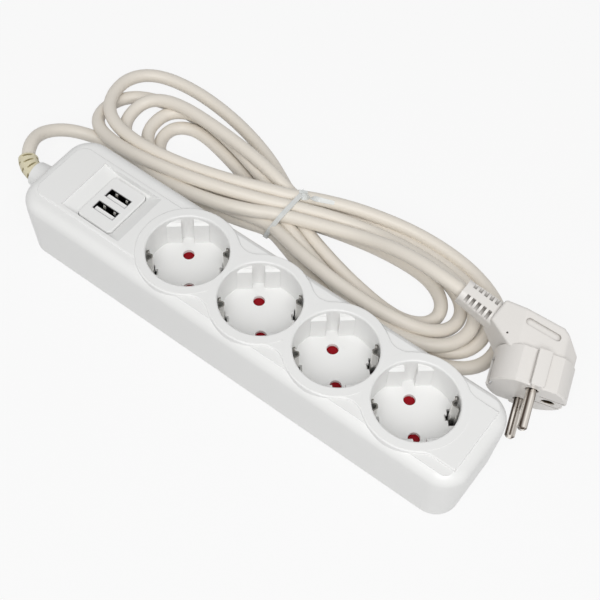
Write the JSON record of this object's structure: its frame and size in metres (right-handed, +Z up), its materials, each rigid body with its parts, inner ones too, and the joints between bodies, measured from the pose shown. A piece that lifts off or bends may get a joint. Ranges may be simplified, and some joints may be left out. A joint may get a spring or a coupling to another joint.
{
  "type": "extension lead",
  "caption": "White extension lead with a row of round earthed sockets and red shutters, USB charging outlets, a bound beige lead and an angled plug.",
  "frame": {"origin": "middle of the housing's underside", "axes": "+Z up, +X along the housing away from the cable end, +Y towards the bound lead"},
  "size_m": [0.2991, 0.1319, 0.0399],
  "materials": {
    "beige_cord": "satin",
    "board_green": "satin",
    "capacitor_sleeve": "gloss",
    "clear_tie": "glossy",
    "contact_brass": "stamped",
    "cream_grommet": "satin",
    "earth_core": "satin",
    "ferrite": "matt",
    "inner_plastic": "satin",
    "live_core": "satin",
    "neutral_core": "satin",
    "pin_nickel": "nickel plated",
    "red_shutter": "satin",
    "screw_steel": "zinc",
    "sheet_steel": "plated",
    "spring_steel": "bright",
    "white_housing": "satin",
    "white_plug": "satin",
    "winding_tape": "satin"
  },
  "bodies": {
    "housing": {"base_cover": "white_housing", "cable_tie": "clear_tie", "cage_screws": "screw_steel", "clamp_screws": "screw_steel", "cord_clamp": "inner_plastic", "cover_screws": "screw_steel", "earth_clip_1": "sheet_steel", "earth_clip_2": "sheet_steel", "earth_clip_3": "sheet_steel", "earth_clip_4": "sheet_steel", "earth_core": "earth_core", "earth_strip": "contact_brass", "entry_bush": "cream_grommet", "lead_cord": "beige_cord", "lead_hank": "beige_cord", "live_core": "live_core", "live_rail": "contact_brass", "neutral_core": "neutral_core", "neutral_rail": "contact_brass", "plug_body": "white_plug", "plug_cord": "beige_cord", "plug_earth_clip_1": "sheet_steel", "plug_earth_clip_2": "sheet_steel", "plug_earth_socket": "contact_brass", "plug_pin_1": "pin_nickel", "plug_pin_2": "pin_nickel", "shutter_cage_1": "inner_plastic", "shutter_cage_2": "inner_plastic", "shutter_cage_3": "inner_plastic", "shutter_cage_4": "inner_plastic", "shutter_spring_1": "spring_steel", "shutter_spring_2": "spring_steel", "shutter_spring_3": "spring_steel", "shutter_spring_4": "spring_steel", "top_cover": "white_housing", "usb_board": "board_green", "usb_board_screws": "screw_steel", "usb_capacitor": "capacitor_sleeve", "usb_panel": "white_housing", "usb_shell_1": "sheet_steel", "usb_shell_2": "sheet_steel", "usb_tongue_1": "inner_plastic", "usb_tongue_2": "inner_plastic", "usb_transformer": "ferrite", "usb_winding": "winding_tape"},
    "shutter_1": {"shutter_1": "red_shutter"},
    "shutter_2": {"shutter_2": "red_shutter"},
    "shutter_3": {"shutter_3": "red_shutter"},
    "shutter_4": {"shutter_4": "red_shutter"}
  },
  "joints": [
    {"name": "shutter_turn_1", "type": "hinge", "parent": "housing", "child": "shutter_1", "pos_m": [-0.0391, 0, 0.0185], "axis": [0, 0, 1], "range_deg": [0, 35], "stiffness_Nm_per_rad": 0.004, "deforming": ["shutter_spring_1"]},
    {"name": "shutter_turn_2", "type": "hinge", "parent": "housing", "child": "shutter_2", "pos_m": [0.0033, 0, 0.0185], "axis": [0, 0, 1], "range_deg": [0, 35], "stiffness_Nm_per_rad": 0.004, "deforming": ["shutter_spring_2"]},
    {"name": "shutter_turn_3", "type": "hinge", "parent": "housing", "child": "shutter_3", "pos_m": [0.0457, 0, 0.0185], "axis": [0, 0, 1], "range_deg": [0, 35], "stiffness_Nm_per_rad": 0.004, "deforming": ["shutter_spring_3"]},
    {"name": "shutter_turn_4", "type": "hinge", "parent": "housing", "child": "shutter_4", "pos_m": [0.0881, 0, 0.0185], "axis": [0, 0, 1], "range_deg": [0, 35], "stiffness_Nm_per_rad": 0.004, "deforming": ["shutter_spring_4"]}
  ]
}
